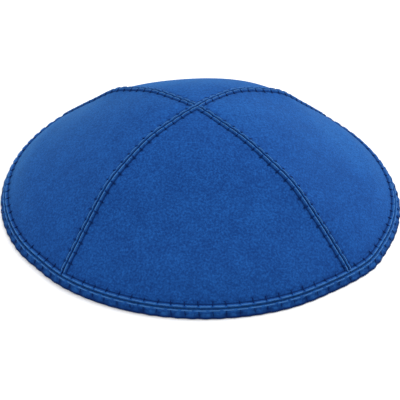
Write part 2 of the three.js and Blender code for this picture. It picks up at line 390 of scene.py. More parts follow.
class CapSurface:
    """The outside of the cap, with its rolled edges and the pull of its stitches."""

    def __init__(self, sizes, stitches):
        self.sizes = sizes
        self.stitches = stitches
        self.heights = {column: curve_through(DOME_ROWS, column) for column in ("seam", "middle")}
        self.bearings = np.radians([row["bearing"] for row in SEAM_ROWS])
        self.bows = np.array([row["bow"] for row in SEAM_ROWS])
        self.sways = np.array([row["sway"] for row in SEAM_ROWS])
        self.shift = np.zeros(3)
        self.turns = np.linspace(0, len(SEAM_ROWS), TURN_SAMPLES)
        self.outs = np.linspace(LEAST_OUT, 1, OUT_SAMPLES)
        spread = self.dome(self.outs[None], self.turns[:, None])
        steps = np.linalg.norm(np.diff(spread, axis=1), axis=2)
        from_rim = np.cumsum(steps[:, ::-1], axis=1)[:, ::-1]
        self.climbs = np.concatenate([from_rim, np.zeros((len(self.turns), 1))], axis=1)
        fold = self.point(self.out_above(sizes.fold_height, self.turns), self.turns, sizes.fold_swell)
        middle = (fold.min(0) + fold.max(0)) / 2
        self.shift = np.array([-middle[0], -middle[1], 0])
        joint = self.point(self.out_above(sizes.band_face, self.turns), self.turns, 0)
        self.rim_runs = run_lengths(joint)
        self.rim_count = round(self.rim_runs[-1] / stitches.rim_pitch)
        uneven = np.random.default_rng(stitches.seed)
        self.tensions = uneven.uniform(SLACKEST, TIGHTEST, self.rim_count)
        self.bumps = uneven.uniform(-1, 1, self.rim_count * BUMPS_PER_STITCH)

    def seam_bearing(self, out, seam):
        """Bearing of a seam at a share out, which goes on past a whole turn for seams past the last."""
        row = seam % len(SEAM_ROWS)
        aside = self.bows[row] * np.sin(np.pi * out) + self.sways[row] * np.sin(2 * np.pi * out)
        return self.bearings[row] + 2 * np.pi * (seam // len(SEAM_ROWS)) + aside / out

    def span(self, out, turn):
        """Angle between the two seams of the panel at a place."""
        seam = np.floor(turn).astype(int)
        return self.seam_bearing(out, seam + 1) - self.seam_bearing(out, seam)

    def dome(self, out, turn, soft=False):
        """Points of the dome before its edges are rolled. soft leaves out the crease at the seams."""
        out, turn = np.broadcast_arrays(np.asarray(out, float), np.asarray(turn, float))
        sizes = self.sizes
        seam = np.floor(turn).astype(int)
        across = turn - seam
        angle = self.seam_bearing(out, seam) * (1 - across) + self.seam_bearing(out, seam + 1) * across
        swell = 0.0
        for row in RIM_SWELLS:
            turned = angle - math.radians(row["towards"])
            swell = swell + row["swell"] * np.cos(row["lobes"] * turned)
        for row in RIM_BULGES:
            turned = angle - math.radians(row["towards"])
            away = np.arctan2(np.sin(turned), np.cos(turned)) / math.radians(row["spread"])
            swell = swell + row["swell"] * np.exp(-(away**2) / 2)
        radius = sizes.rim_radius * out * (1 + swell * out**2)
        x = radius * np.cos(angle) + sizes.crown_right * (1 - out**2)
        y = radius * np.sin(angle) + sizes.crown_back * (1 - out**2)
        if soft:
            weight = np.cos(np.pi * turn) ** 2
        else:
            weight = (1 / np.cos((across - 0.5) * np.pi / 2) - 1) / (math.sqrt(2) - 1)
        middle = self.heights["middle"](out)
        share = middle + (self.heights["seam"](out) - middle) * weight
        right, back = x / sizes.rim_radius, y / sizes.rim_radius
        for row in DENT_ROWS:
            share = share + row["rise"] * (1 - out**DENTS_FADE) * nearness(row, right, back)
        return np.stack([x, y, sizes.crown_height * share], -1) + self.shift

    def outward(self, out, turn):
        """Direction of the wall's thickness, the same on both sides of a seam."""
        step = 0.01
        out = np.asarray(out, float)
        around = np.maximum(out, step)
        below, above = np.minimum(out + step, 1), np.maximum(out - step, step / 10)
        down = self.dome(below, turn, True) - self.dome(above, turn, True)
        across = self.dome(around, turn + step, True) - self.dome(around, turn - step, True)
        return unit(np.cross(down, across))

    def point(self, out, turn, lift):
        """Places that stand a lift above the dome."""
        return self.dome(out, turn) + self.outward(out, turn) * np.asarray(lift)[..., None]

    def out_above(self, distance, turn):
        """The share out that lies a distance up the dome from the table."""
        outs = np.array([np.interp(distance, climb[::-1], self.outs[::-1]) for climb in self.climbs])
        return np.interp(turn, self.turns, outs)

    def climb(self, out, turn):
        """Distance up the dome from the table to a place."""
        i = np.clip(np.searchsorted(self.turns, turn) - 1, 0, len(self.turns) - 2)
        j = np.clip(np.searchsorted(self.outs, out) - 1, 0, len(self.outs) - 2)
        a = (turn - self.turns[i]) / (self.turns[i + 1] - self.turns[i])
        b = (out - self.outs[j]) / (self.outs[j + 1] - self.outs[j])
        table = self.climbs
        near = table[i, j] * (1 - b) + table[i, j + 1] * b
        far = table[i + 1, j] * (1 - b) + table[i + 1, j + 1] * b
        return near * (1 - a) + far * a

    def seam_run(self, seam):
        """Distance along a seam from the crown, for each of self.outs."""
        return run_lengths(self.dome(self.outs, float(seam % len(SEAM_ROWS))))

    def rim_phase(self, turn):
        """Stitches of the rim joint passed at a place."""
        return np.interp(turn, self.turns, self.rim_runs) / self.rim_runs[-1] * self.rim_count

    def rim_turns(self, phases):
        """The turn at places given in stitches of the rim joint."""
        return np.interp(phases / self.rim_count * self.rim_runs[-1], self.rim_runs, self.turns)

    def pull(self, phase):
        """How hard the suede is drawn in: most where phase is whole, at a stitch, and unlike at each."""
        count = len(self.tensions)
        tension = np.interp(phase % count, np.arange(count + 1), np.append(self.tensions, self.tensions[0]))
        return np.cos(2 * np.pi * phase) * tension

    def bump(self, phase):
        """Small bumps of the folded edge, from -1 to 1, which follow no rule."""
        places = np.arange(len(self.bumps) + 1) / BUMPS_PER_STITCH
        return np.interp(phase % self.rim_count, places, np.append(self.bumps, self.bumps[0]))

    def lip(self, distance, phase, on_rim):
        """Lift of a rolled edge at a distance from its joint, drawn in beside each stitch."""
        sizes, stitches = self.sizes, self.stitches
        height = sizes.lip_height if on_rim else sizes.seam_height
        leg = stitches.rim_leg if on_rim else stitches.seam_leg
        pull = self.pull(phase)
        inward = [row["inward"] for row in LIP_ROWS]
        rise = [row["rise"] for row in LIP_ROWS]
        width = sizes.lip_width * (1 - DRAWN_NARROWER * pull)
        roll = np.interp(distance / width, inward, rise) * (1 - DRAWN_LOWER * pull)
        foot_away = (distance / sizes.lip_width - TUG_PLACE) / TUG_SPREAD
        tug = np.exp(-(foot_away**2)) * (TUG_ALWAYS + TUG_BY_PULL * pull)
        hole_away = (phase - np.round(phase)) * stitches.pitch
        hole = np.exp(-((distance - leg) ** 2 + hole_away**2) / (2 * NEEDLE_DENT**2))
        return height * roll - stitches.pucker * (tug + hole), roll, hole

    def relief(self, out, turn):
        """Lift of a panel's outside over the dome, how far it is rolled edge and how far needle hole, and how
        far off the nearest joint is, and whether that is the rim's."""
        out, turn = np.broadcast_arrays(np.asarray(out, float), np.asarray(turn, float))
        sizes, pitch = self.sizes, self.stitches.pitch
        seam = np.floor(turn).astype(int)
        span = self.span(out, turn)
        meet_from, meet_to = MEET_FROM * sizes.lip_width, MEET_TO * sizes.lip_width
        kinds = ("distance", "lift", "roll", "hole")
        long_seam = {name: np.zeros_like(out) for name in kinds}
        short_seam = {name: np.zeros_like(out) for name in kinds}
        for side in (0, 1):
            angle = np.maximum((turn - seam) if side == 0 else (seam + 1 - turn), 0) * span
            distance = sizes.rim_radius * out * np.sin(np.minimum(angle, math.pi / 2))
            phase = np.zeros_like(out)
            for index in range(len(SEAM_ROWS)):
                here = (seam + side) % len(SEAM_ROWS) == index
                phase[here] = np.interp(out[here], self.outs, self.seam_run(index)) / pitch
            lengthwise = (seam + side) % 2 == LONG_SEAM_PARITY
            lift, roll, hole = self.lip(distance, phase, False)
            for name, value in zip(kinds, (distance, lift, roll, hole)):
                long_seam[name][lengthwise] = value[lengthwise]
                short_seam[name][~lengthwise] = value[~lengthwise]
        clear = smooth_step(long_seam["distance"], meet_from, meet_to)
        both = {}
        for name in kinds[1:]:
            both[name] = long_seam[name] * (1 - clear) + stronger(long_seam[name], short_seam[name]) * clear
        to_rim = self.climb(out, turn) - sizes.band_face
        rim_values = self.lip(np.maximum(to_rim, 0), self.rim_phase(turn), True)
        clear = smooth_step(to_rim, meet_from, meet_to)
        for name, rim_value in zip(kinds[1:], rim_values):
            both[name] = rim_value * (1 - clear) + stronger(rim_value, both[name]) * clear
        to_seam = np.minimum(long_seam["distance"], short_seam["distance"])
        nearest = np.minimum(to_seam, np.maximum(to_rim, 0))
        return both["lift"], both["roll"], both["hole"], nearest, to_rim < to_seam


def add_node(tree, kind, inputs=None, **settings):
    """A new node with its settings, and its inputs set to values or linked. A link comes from another node's
    output, and from its first one where the node itself is given."""
    node = tree.nodes.new(kind)
    for name, value in settings.items():
        setattr(node, name, value)
    for name, value in (inputs or {}).items():
        if isinstance(value, bpy.types.Node):
            value = value.outputs[0]
        if isinstance(value, bpy.types.NodeSocket):
            tree.links.new(value, node.inputs[name])
        else:
            node.inputs[name].default_value = value
    return node


def new_material(name):
    """An empty material and its node tree."""
    material = bpy.data.materials.new(name)
    material.use_nodes = True
    material.node_tree.nodes.clear()
    return material, material.node_tree


def new_object(name, vertices, edges, faces):
    """A mesh object in the scene."""
    mesh = bpy.data.meshes.new(name)
    mesh.from_pydata(np.asarray(vertices).reshape(-1, 3).tolist(), edges, faces)
    thing = bpy.data.objects.new(name, mesh)
    bpy.context.scene.collection.objects.link(thing)
    return thing


def store(mesh, name, values, kind="FLOAT"):
    """A number or a vector for each vertex, which a material or a tree can read."""
    attribute = mesh.attributes.new(name, kind, "POINT")
    part = "vector" if kind == "FLOAT_VECTOR" else "value"
    attribute.data.foreach_set(part, np.asarray(values, np.float32).ravel())


def suede_material(name, colours, grain_size, grain_depth):
    """Dyed split suede, brushed. Its short nap scatters light, so it has no gloss, shows a soft mottle where
    fingers laid the nap this way and that, and is palest where it is seen edge on. Its fibres are drawn
    coarser than real ones, so that they show."""
    material, tree = new_material(name)
    place = add_node(tree, "ShaderNodeTexCoord").outputs["Object"]
    noise = {}
    parts = {"mottle": (8 * MM, 3.0), "grain": (grain_size, 2.0), "fibre": (0.35 * MM, 2.0)}
    for part, (size, detail) in parts.items():
        settings = {"Vector": place, "Scale": 1 / size, "Detail": detail, "Roughness": 0.6}
        noise[part] = add_node(tree, "ShaderNodeTexNoise", settings).outputs["Fac"]
    mottle_share, grain_share, contrast = 0.28, 0.6, 1.5
    faint = add_node(tree, "ShaderNodeMath", {0: noise["mottle"], 1: mottle_share}, operation="MULTIPLY")
    laid = add_node(tree, "ShaderNodeMath", {0: faint, 1: noise["grain"]}, operation="ADD")
    stretch = {"Value": laid, "From Min": 0.4, "From Max": 0.86}
    spread = add_node(tree, "ShaderNodeMapRange", stretch)
    tips = add_node(tree, "ShaderNodeMath", {0: spread, 1: contrast}, operation="POWER")
    # The first attribute paints worn crests and painted light pale; the second paints painted shade
    wear_and_highlight_here = add_node(tree, "ShaderNodeAttribute", attribute_name="wear_and_highlight").outputs["Fac"]
    painted_shade_here = add_node(tree, "ShaderNodeAttribute", attribute_name="painted_shade").outputs["Fac"]
    patchy = add_node(tree, "ShaderNodeMath", {0: wear_and_highlight_here, 1: spread}, operation="MULTIPLY")
    tint = (*colours.shade, 1)
    for share, over in ((tips, colours.nap), (patchy, colours.wear_and_highlight), (painted_shade_here, colours.painted_shade)):
        blend = {0: share, 6: tint, 7: (*over, 1)}
        tint = add_node(tree, "ShaderNodeMix", blend, data_type="RGBA").outputs[2]
    relief = {0: noise["grain"], 1: grain_share, 2: noise["fibre"]}
    heights = add_node(tree, "ShaderNodeMath", relief, operation="MULTIPLY_ADD")
    bump = add_node(tree, "ShaderNodeBump", {"Height": heights, "Strength": 0.6, "Distance": grain_depth})
    finish = {
        "Base Color": tint,
        "Roughness": 1.0,
        "IOR": 1.45,
        "Specular IOR Level": 0.1,
        "Sheen Weight": 0.22,
        "Sheen Roughness": 0.4,
        "Sheen Tint": (*colours.sheen, 1),
        "Normal": bump,
    }
    surface = add_node(tree, "ShaderNodeBsdfPrincipled", finish)
    add_node(tree, "ShaderNodeOutputMaterial", {"Surface": surface})
    return material


def thread_material(name, tint, gloss):
    """Twisted polyester thread of two plies. It is smooth and a little waxy, so its plies catch small soft
    glints, and the hollows between them are darkened with painted shade."""
    material, tree = new_material(name)
    along = add_node(tree, "ShaderNodeAttribute", attribute_name="along").outputs["Fac"]
    around = add_node(tree, "ShaderNodeAttribute", attribute_name="around").outputs["Fac"]
    twist_length = 1.1 * MM
    painted_hollow_shade = 0.45
    turned = add_node(tree, "ShaderNodeMath", {0: along, 1: 2 * math.pi / twist_length}, operation="MULTIPLY")
    winding = {0: around, 1: 4 * math.pi, 2: turned}
    wound = add_node(tree, "ShaderNodeMath", winding, operation="MULTIPLY_ADD")
    ply = add_node(tree, "ShaderNodeMath", {0: wound}, operation="SINE")
    stretch = {"Value": ply, "From Min": -1.0, "From Max": 1.0, "To Min": painted_hollow_shade, "To Max": 1.0}
    between = add_node(tree, "ShaderNodeMapRange", stretch)
    # Painted shade in the hollows between the plies
    dark = (*[channel * painted_hollow_shade for channel in tint], 1)
    shade = add_node(tree, "ShaderNodeMix", {0: between, 6: dark, 7: (*tint, 1)}, data_type="RGBA")
    bump = add_node(tree, "ShaderNodeBump", {"Height": ply, "Strength": 0.5, "Distance": 0.05 * MM})
    finish = {
        "Base Color": shade.outputs[2],
        "Roughness": 0.6,
        "IOR": 1.5,
        "Specular IOR Level": gloss,
        "Normal": bump,
    }
    surface = add_node(tree, "ShaderNodeBsdfPrincipled", finish)
    add_node(tree, "ShaderNodeOutputMaterial", {"Surface": surface})
    return material


def wall_faces(rows, columns):
    """Faces of a closed wall, whose vertices are a tip and then a grid, first outside and then inside."""
    size = 1 + rows * columns
    out = 1 + np.arange(rows * columns).reshape(rows, columns)
    back = out + size
    faces = [(0, a, b) for a, b in zip(out[0, :-1], out[0, 1:])]
    faces += [(size, b, a) for a, b in zip(back[0, :-1], back[0, 1:])]

    def quads(a, b, c, d):
        faces.extend(zip(a.ravel().tolist(), b.ravel().tolist(), c.ravel().tolist(), d.ravel().tolist()))

    quads(out[:-1, :-1], out[1:, :-1], out[1:, 1:], out[:-1, 1:])
    quads(back[:-1, :-1], back[:-1, 1:], back[1:, 1:], back[1:, :-1])
    quads(out[-1, :-1], back[-1, :-1], back[-1, 1:], out[-1, 1:])
    left_out, left_back = np.append(0, out[:, 0]), np.append(size, back[:, 0])
    right_out, right_back = np.append(0, out[:, -1]), np.append(size, back[:, -1])
    quads(left_out[:-1], left_back[:-1], left_back[1:], left_out[1:])
    quads(right_out[1:], right_back[1:], right_back[:-1], right_out[:-1])
    return [tuple(int(i) for i in face) for face in faces]


def finish_suede(thing, material, wear_and_highlight, painted_shade, node):
    """Shade a suede piece, give it its material, its wear and its painted light and shade, and put it in the
    CAD node's place.
    """
    mesh = thing.data
    store(mesh, "wear_and_highlight", wear_and_highlight)
    store(mesh, "painted_shade", painted_shade)
    mesh.shade_smooth()
    mesh.set_sharp_from_angle(angle=math.radians(SHARP_FROM))
    mesh.materials.append(material)
    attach(thing, "root")
    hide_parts(node)


def steps_between(start, end, step):
    """Evenly spaced places from start to end, about a step apart."""
    return np.linspace(start, end, max(2, int(round((end - start) / step)) + 1))


def rubbed(roll):
    """How pale a rolled edge is rubbed, from its rise as a share of its height."""
    return np.clip(roll - RUBBED_ABOVE, 0, 1) / (1 - RUBBED_ABOVE)


def painted_groove_shade(distance):
    """How much painted shade darkens the groove of a joint at a distance from it."""
    return np.exp(-((distance / GROOVE_SPREAD) ** 2))


def brushed(places):
    """How much painted light the patches put at places in shares of the rim's radius; below 0 it is painted
    shade.
    """
    painted_light = np.zeros(places.shape[:-1])
    for row in PAINTED_LIGHT_PATCHES:
        painted_light += row["painted_light"] * nearness(row, places[..., 0], places[..., 1])
    return painted_light


def panel_grid(surface, panel):
    """out and turn of a panel's mesh, in rows from the crown to the rim and columns from seam to seam."""
    sizes = surface.sizes
    lip_steps = np.concatenate(
        [
            steps_between(0, FINE_TO * sizes.lip_width, EDGE_STEP),
            steps_between(COARSE_FROM * sizes.lip_width, EDGE_REACH, PAST_EDGE_STEP),
        ]
    )
    downs = np.concatenate(
        [
            steps_between(CROWN_STEP / 2, CROWN_REACH, CROWN_STEP),
            steps_between(CROWN_REACH + 2 * CROWN_STEP, NOMINAL_RUN - RIM_ZONE, RUN_STEP),
        ]
    )
    ends = surface.out_above(sizes.band_face + sizes.joint_gap / 2, surface.turns)
    seam_line = surface.seam_run(panel)
    run = np.interp(ends.mean(), surface.outs, seam_line)
    shares = np.interp(downs / NOMINAL_RUN * run, seam_line, surface.outs) / ends.mean()
    climb_per_out = surface.climbs[:, -NEAR_RIM].mean() / (surface.outs[-1] - surface.outs[-NEAR_RIM])
    near_rim = 1 - (lip_steps[::-1] / climb_per_out) / ends.mean()
    shares = np.concatenate([shares[shares < near_rim[0] - LEAST_SHARE], near_rim])
    out_row = shares * ends.mean()
    width = sizes.rim_radius * out_row * surface.span(out_row, np.full(len(out_row), panel + 0.5))
    usable = width - sizes.joint_gap
    squeeze = np.minimum(1, EDGES_AT_MOST * usable / 2 / lip_steps[-1])
    lip = lip_steps[None] * squeeze[:, None]
    inner = lip[:, -1:] + (usable[:, None] - 2 * lip[:, -1:]) * np.linspace(0, 1, FIELDS + 1)[None, 1:-1]
    distances = np.concatenate([lip, inner, usable[:, None] - lip[:, ::-1]], axis=1)
    turn = panel + (sizes.joint_gap / 2 + distances) / width[:, None]
    return shares[:, None] * np.interp(turn, surface.turns, ends), turn


def build_panel(surface, panel, name, material):
    """One suede panel, with a fine mesh along its rolled edges."""
    sizes = surface.sizes
    out, turn = panel_grid(surface, panel)
    lift, roll, hole, nearest, at_rim = surface.relief(out, turn)
    outside = surface.point(out, turn, lift)
    inside = surface.point(out, turn, -sizes.wall)
    tip_turn, tip_out = panel + 0.5, TIP_SIZE / sizes.rim_radius
    tip_lift = surface.relief(tip_out, tip_turn)[0]
    tips = [surface.point(tip_out, tip_turn, value) for value in (float(tip_lift), -sizes.wall)]
    vertices = np.concatenate([tips[0][None], outside.reshape(-1, 3), tips[1][None], inside.reshape(-1, 3)])
    thing = new_object(name, vertices, [], wall_faces(*turn.shape))
    # Patches of painted light, and below 0 painted shade, from the table
    painted_patches = brushed(outside / sizes.rim_radius)
    wear_and_highlight = np.clip(PANEL_RUB * rubbed(roll) + np.maximum(painted_patches, 0), 0, 1)
    # Painted shade in the joint's groove, the crease at the foot of the rolled edge and the needle holes
    foot = np.exp(-(((nearest - EDGE_FOOT_PLACE * sizes.lip_width) / EDGE_FOOT_SPREAD) ** 2))
    dark = painted_groove_shade(nearest) * np.where(at_rim, RIM_GROOVE_PAINTED_SHADE, 1) + EDGE_FOOT_PAINTED_SHADE * foot + HOLE_PAINTED_SHADE * hole
    painted_shade = np.clip(dark + np.maximum(-painted_patches, 0), 0, 1)
    none = np.zeros(turn.size)
    wear_and_highlight = np.concatenate([[0], wear_and_highlight.ravel(), [0], none])
    painted_shade = np.concatenate([[1], painted_shade.ravel(), [0], none])
    finish_suede(thing, material, wear_and_highlight, painted_shade, name.removeprefix("suede_"))


class SKULLCAP_OT_panels(bpy.types.Operator):
    """Cut the four suede panels of the dome and roll their edges"""

    bl_idname = "skullcap.panels"
    bl_label = "Suede panels"

    def execute(self, context):
        scene = context.scene
        surface = CapSurface(scene.skullcap_sizes, scene.skullcap_stitches)
        name, colours = "brushed suede, royal blue", scene.skullcap_colours
        material = suede_material(name, colours, grain_size=0.8 * MM, grain_depth=0.12 * MM)
        for panel, side in enumerate(("back", "left", "front", "right")):
            build_panel(surface, panel, "suede_panel_" + side, material)
        return {"FINISHED"}


class SKULLCAP_OT_rim_band(bpy.types.Operator):
    """Fold the suede rim band round the lower edge"""

    bl_idname = "skullcap.rim_band"
    bl_label = "Rim band"

    def execute(self, context):
        sizes, stitches = context.scene.skullcap_sizes, context.scene.skullcap_stitches
        surface = CapSurface(sizes, stitches)
        steps_per_stitch = 8
        phases = np.arange(surface.rim_count * steps_per_stitch) / steps_per_stitch
        turns = surface.rim_turns(phases)
        joint = sizes.band_face - sizes.joint_gap / 2
        behind = -(sizes.wall + sizes.joint_gap)
        inside = behind - sizes.band_ply
        pull, bump = surface.pull(phases), surface.bump(phases)
        ring = surface.dome(1.0, turns)
        inwards = -unit(ring * [1, 1, 0])
        section, wear_and_highlight, painted_shade = [], [], []

        def at(distance, lift, rubbed=0.0, painted_shade_share=0.0):
            lifts = np.broadcast_to(lift, turns.shape)
            section.append(surface.point(surface.out_above(distance, turns), turns, lifts))
            wear_and_highlight.append(np.broadcast_to(rubbed, turns.shape))
            painted_shade.append(np.broadcast_to(painted_shade_share, turns.shape))

        def foot(inset, height, painted_shade_share=0.0):
            aside = np.broadcast_to(inset, turns.shape)[:, None]
            section.append(ring + inwards * aside + np.array([0, 0, height]))
            wear_and_highlight.append(np.zeros_like(turns))
            painted_shade.append(np.broadcast_to(painted_shade_share, turns.shape))

        # The band's rolled edge: worn pale along its crest, with painted shade in the joint's groove
        for share in BAND_LIP_SHARES:
            away = share * sizes.lip_width
            lift, roll, _ = surface.lip(np.full(len(turns), away), phases, True)
            at(joint - away, lift, BAND_RUB * rubbed(roll), RIM_GROOVE_PAINTED_SHADE * painted_groove_shade(away))
        # Painted light on the face where it bulges out, less where a stitch pulls it in, and painted shade
        # that grows lower down and where it is pulled in
        painted_light = FACE_PAINTED_LIGHT["usual"] + FACE_PAINTED_LIGHT["by_pull"] * pull + FACE_PAINTED_LIGHT["by_bump"] * bump
        painted_light = np.clip(painted_light, 0, 1)
        for row in FACE_ROWS:
            swell = row["swell"] + row["by_pull"] * pull + row["by_bump"] * bump
            dark = row["dark"] + FACE_PAINTED_SHADE["by_pull"] * pull + FACE_PAINTED_SHADE["by_bump"] * bump
            at(row["height"] * MM, swell * MM, row["painted_light"] * painted_light, np.clip(dark, 0, 1))
        fold = sizes.fold_swell + FOLD_BY_PULL * pull + FOLD_BY_BUMP * bump
        # Painted shade on the fold and under it
        at(sizes.fold_height, fold, 0, np.clip(FOLD_PAINTED_SHADE["usual"] + FOLD_PAINTED_SHADE["by_pull"] * pull, 0, 1))
        for row in FOOT_ROWS:
            inset = row["inset"] + row["by_pull"] * pull + row["by_bump"] * bump
            foot(inset * MM, row["height"] * MM, row["dark"])
        foot(FLAT_INSET + sizes.foot_width, 0)
        for distance in (joint, (joint + sizes.band_hem) / 2, sizes.band_hem):
            at(distance, inside)
        for distance in (sizes.band_hem, (joint + sizes.band_hem) / 2, joint):
            at(distance, behind)
        size = len(section)
        grid = np.arange(len(turns) * size).reshape(len(turns), size)
        onward, after = np.roll(grid, -1, axis=0), np.roll(grid, -1, axis=1)
        corners = np.stack([grid, after, np.roll(onward, -1, axis=1), onward], -1).reshape(-1, 4)
        thing = new_object("suede_rim_band", np.stack(section, 1), [], corners.tolist())
        smoother = thing.modifiers.new("soft folds", "SUBSURF")
        smoother.levels = smoother.render_levels = 1
        colours = context.scene.skullcap_colours
        name = "brushed suede, folded and handled"
        material = suede_material(name, colours, grain_size=1.1 * MM, grain_depth=0.4 * MM)
        finish_suede(thing, material, np.stack(wear_and_highlight, 1), np.stack(painted_shade, 1), "rim_band")
        return {"FINISHED"}


def thread_tree(name, sizes):
    """A tree that grows thread on a guide mesh, and its inputs: the mesh, named sizes and a material."""
    tree = bpy.data.node_groups.new(name, "GeometryNodeTree")
    kinds = {key: "Int" if isinstance(size, int) else "Float" for key, size in sizes.items()}
    for key, kind in {"Geometry": "Geometry", **kinds, "Material": "Material"}.items():
        socket = tree.interface.new_socket(name=key, in_out="INPUT", socket_type="NodeSocket" + kind)
        if key in sizes:
            socket.default_value = sizes[key]
    tree.interface.new_socket(name="Geometry", in_out="OUTPUT", socket_type="NodeSocketGeometry")
    return tree, add_node(tree, "NodeGroupInput").outputs


def thread_sweep(tree, path, given):
    """The end of every thread's tree: a round thread along a curve, with numbers along and around it."""

    def numbered(curve, name, part):
        value = add_node(tree, "GeometryNodeSplineParameter").outputs[part]
        settings = {"Geometry": curve, "Name": name, "Value": value}
        return add_node(tree, "GeometryNodeStoreNamedAttribute", settings, data_type="FLOAT")

    radius = add_node(tree, "ShaderNodeMath", {0: given["Thread"], 1: 0.5}, operation="MULTIPLY")
    circle = {"Resolution": given["Sides"], "Radius": radius}
    ring = add_node(tree, "GeometryNodeCurvePrimitiveCircle", circle)
    profile = numbered(ring, "around", "Factor")
    sweep = {"Curve": numbered(path, "along", "Length"), "Profile Curve": profile, "Fill Caps": True}
    return add_node(tree, "GeometryNodeCurveToMesh", sweep)


def close_tree(tree, mesh, given):
    """Makes the instances real, smooths them and gives them their material."""
    real = add_node(tree, "GeometryNodeRealizeInstances", {"Geometry": mesh})
    smooth = add_node(tree, "GeometryNodeSetShadeSmooth", {"Geometry": real})
    dressed = add_node(tree, "GeometryNodeSetMaterial", {"Geometry": smooth, "Material": given["Material"]})
    add_node(tree, "NodeGroupOutput", {"Geometry": dressed})


def running_thread_tree():
    """A thread that runs along each edge path, up over the suede and down into it once a stitch."""
    sizes = {"Thread": 0.4 * MM, "Sides": 8, "Rise": 0.1 * MM, "Dive": 0.6 * MM}
    tree, given = thread_tree("running thread", sizes)
    path = add_node(tree, "GeometryNodeMeshToCurve", {"Mesh": given["Geometry"]})
    up = add_node(tree, "GeometryNodeInputNamedAttribute", {"Name": "up"}, data_type="FLOAT_VECTOR")
    phase = add_node(tree, "GeometryNodeInputNamedAttribute", {"Name": "phase"}, data_type="FLOAT")
    angle = add_node(tree, "ShaderNodeMath", {0: phase, 1: math.pi}, operation="MULTIPLY")
    wave = add_node(tree, "ShaderNodeMath", {0: angle}, operation="COSINE")
    size = add_node(tree, "ShaderNodeMath", {0: wave}, operation="ABSOLUTE")
    sharpness = 14.0
    sharp = add_node(tree, "ShaderNodeMath", {0: size, 1: sharpness}, operation="POWER")
    sunk = add_node(tree, "ShaderNodeMath", {0: sharp, 1: given["Dive"]}, operation="MULTIPLY")
    lift = add_node(tree, "ShaderNodeMath", {0: given["Rise"], 1: sunk}, operation="SUBTRACT")
    offset = add_node(tree, "ShaderNodeVectorMath", {0: up, "Scale": lift}, operation="SCALE")
    laid = add_node(tree, "GeometryNodeSetPosition", {"Geometry": path, "Offset": offset})
    close_tree(tree, thread_sweep(tree, laid, given), given)
    return tree


def set_stitches_tree():
    """A short arched stitch at each point, turned to lie along it and a little uneven."""
    thread = {"Thread": 0.4 * MM, "Sides": 6}
    arch = {"Reach": 1.4 * MM, "Start": 0.4 * MM, "Arch": 0.4 * MM, "Dive": 0.3 * MM}
    tree, given = thread_tree("set stitches", {**thread, **arch, "Seed": 0})
    down = add_node(tree, "ShaderNodeMath", {0: given["Dive"], 1: -1.0}, operation="MULTIPLY")
    crest_share = 0.6
    half = add_node(tree, "ShaderNodeMath", {0: given["Reach"], 1: crest_share}, operation="MULTIPLY")
    begin = add_node(tree, "ShaderNodeCombineXYZ", {"Z": given["Start"]})
    crest = add_node(tree, "ShaderNodeCombineXYZ", {"X": half, "Z": given["Arch"]})
    end = add_node(tree, "ShaderNodeCombineXYZ", {"X": given["Reach"], "Z": down})
    points = {"Resolution": 5, "Start": begin, "Middle": crest, "End": end}
    arc = add_node(tree, "GeometryNodeCurveQuadraticBezier", points)
    stitch = thread_sweep(tree, arc, given)
    up = add_node(tree, "GeometryNodeInputNamedAttribute", {"Name": "up"}, data_type="FLOAT_VECTOR")
    away = add_node(tree, "GeometryNodeInputNamedAttribute", {"Name": "away"}, data_type="FLOAT_VECTOR")
    axes = {"primary_axis": "Z", "secondary_axis": "X"}
    facing = add_node(tree, "FunctionNodeAxesToRotation", {0: up, 1: away}, **axes)
    askew = 0.2
    settings = {0: (0, 0, -askew), 1: (0, 0, askew), "Seed": given["Seed"]}
    skew = add_node(tree, "FunctionNodeRandomValue", settings, data_type="FLOAT_VECTOR")
    settings = {"Rotation": facing, "Rotate By": skew}
    skewed = add_node(tree, "FunctionNodeRotateRotation", settings, rotation_space="LOCAL")
    other_seed = add_node(tree, "ShaderNodeMath", {0: given["Seed"], 1: 1.0}, operation="ADD")
    shortest, longest = 0.8, 1.15
    settings = {0: (shortest, 1, 1), 1: (longest, 1, 1), "Seed": other_seed}
    stretch = add_node(tree, "FunctionNodeRandomValue", settings, data_type="FLOAT_VECTOR")
    settings = {"Points": given["Geometry"], "Instance": stitch, "Rotation": skewed, "Scale": stretch}
    placed = add_node(tree, "GeometryNodeInstanceOnPoints", settings)
    close_tree(tree, placed, given)
    return tree


def grow(name, tree, guide, values):
    """Runs a tree on a guide mesh and keeps the result as a plain mesh."""
    modifier = guide.modifiers.new(name, "NODES")
    identifiers = {item.name: item.identifier for item in tree.interface.items_tree if item.in_out == "INPUT"}
    modifier.node_group = tree
    for key, value in values.items():
        modifier[identifiers[key]] = value
    grown = bpy.data.meshes.new_from_object(guide.evaluated_get(bpy.context.evaluated_depsgraph_get()))
    grown.name = name
    bpy.data.objects.remove(guide)
    thing = bpy.data.objects.new(name, grown)
    bpy.context.scene.collection.objects.link(thing)
    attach(thing, "root")
    return thing


def guide_mesh(name, points, edges, vectors, numbers):
    """Points and edges with named vectors and numbers, which a tree turns into thread."""
    thing = new_object(name, points, edges, [])
    for key, values in vectors.items():
        store(thing.data, key, values, "FLOAT_VECTOR")
    for key, values in numbers.items():
        store(thing.data, key, values)
    return thing


def chains(lines):
    """Edges that join the points of each line in turn, numbered through all the lines."""
    edges, start = [], 0
    for line in lines:
        edges += [(start + i, start + i + 1) for i in range(len(line) - 1)]
        start += len(line)
    return edges


def lay_rows(name, tree, rows, ups, phases, settings):
    """Rows of thread through lines of points, each with its direction up and its place in the stitch."""
    directions, places = {"up": np.concatenate(ups)}, {"phase": np.concatenate(phases)}
    guide = guide_mesh(name + " paths", np.concatenate(rows), chains(rows), directions, places)
    grow(name, tree, guide, {**ROW_LIE, **settings})


